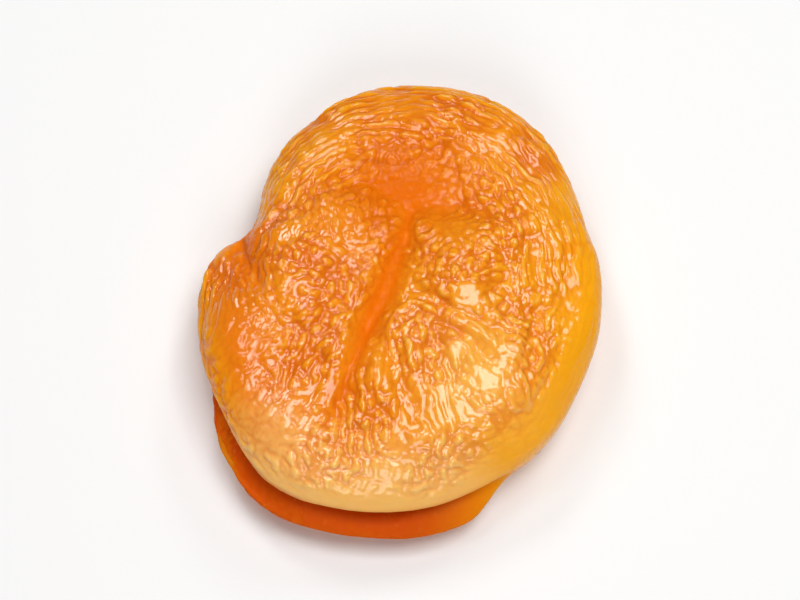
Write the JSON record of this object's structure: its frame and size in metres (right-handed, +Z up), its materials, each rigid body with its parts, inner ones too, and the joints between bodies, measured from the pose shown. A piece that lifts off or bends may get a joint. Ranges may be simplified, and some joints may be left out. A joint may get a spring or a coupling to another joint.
{
  "type": "dried apricot",
  "caption": "Whole stoned dried apricot, pressed flat, with a sunken, folded and wrinkled face and a slit in its rim.",
  "frame": {"origin": "middle of the fruit's box, on the surface that it rests on", "axes": "+Z up out of the sunken face, +Y along the fruit's length, away from the slit in its rim, +X across it"},
  "size_m": [0.0372, 0.0438, 0.012],
  "materials": {
    "flesh": "satin"
  },
  "bodies": {
    "root": {"apricot": "flesh"}
  },
  "joints": []
}
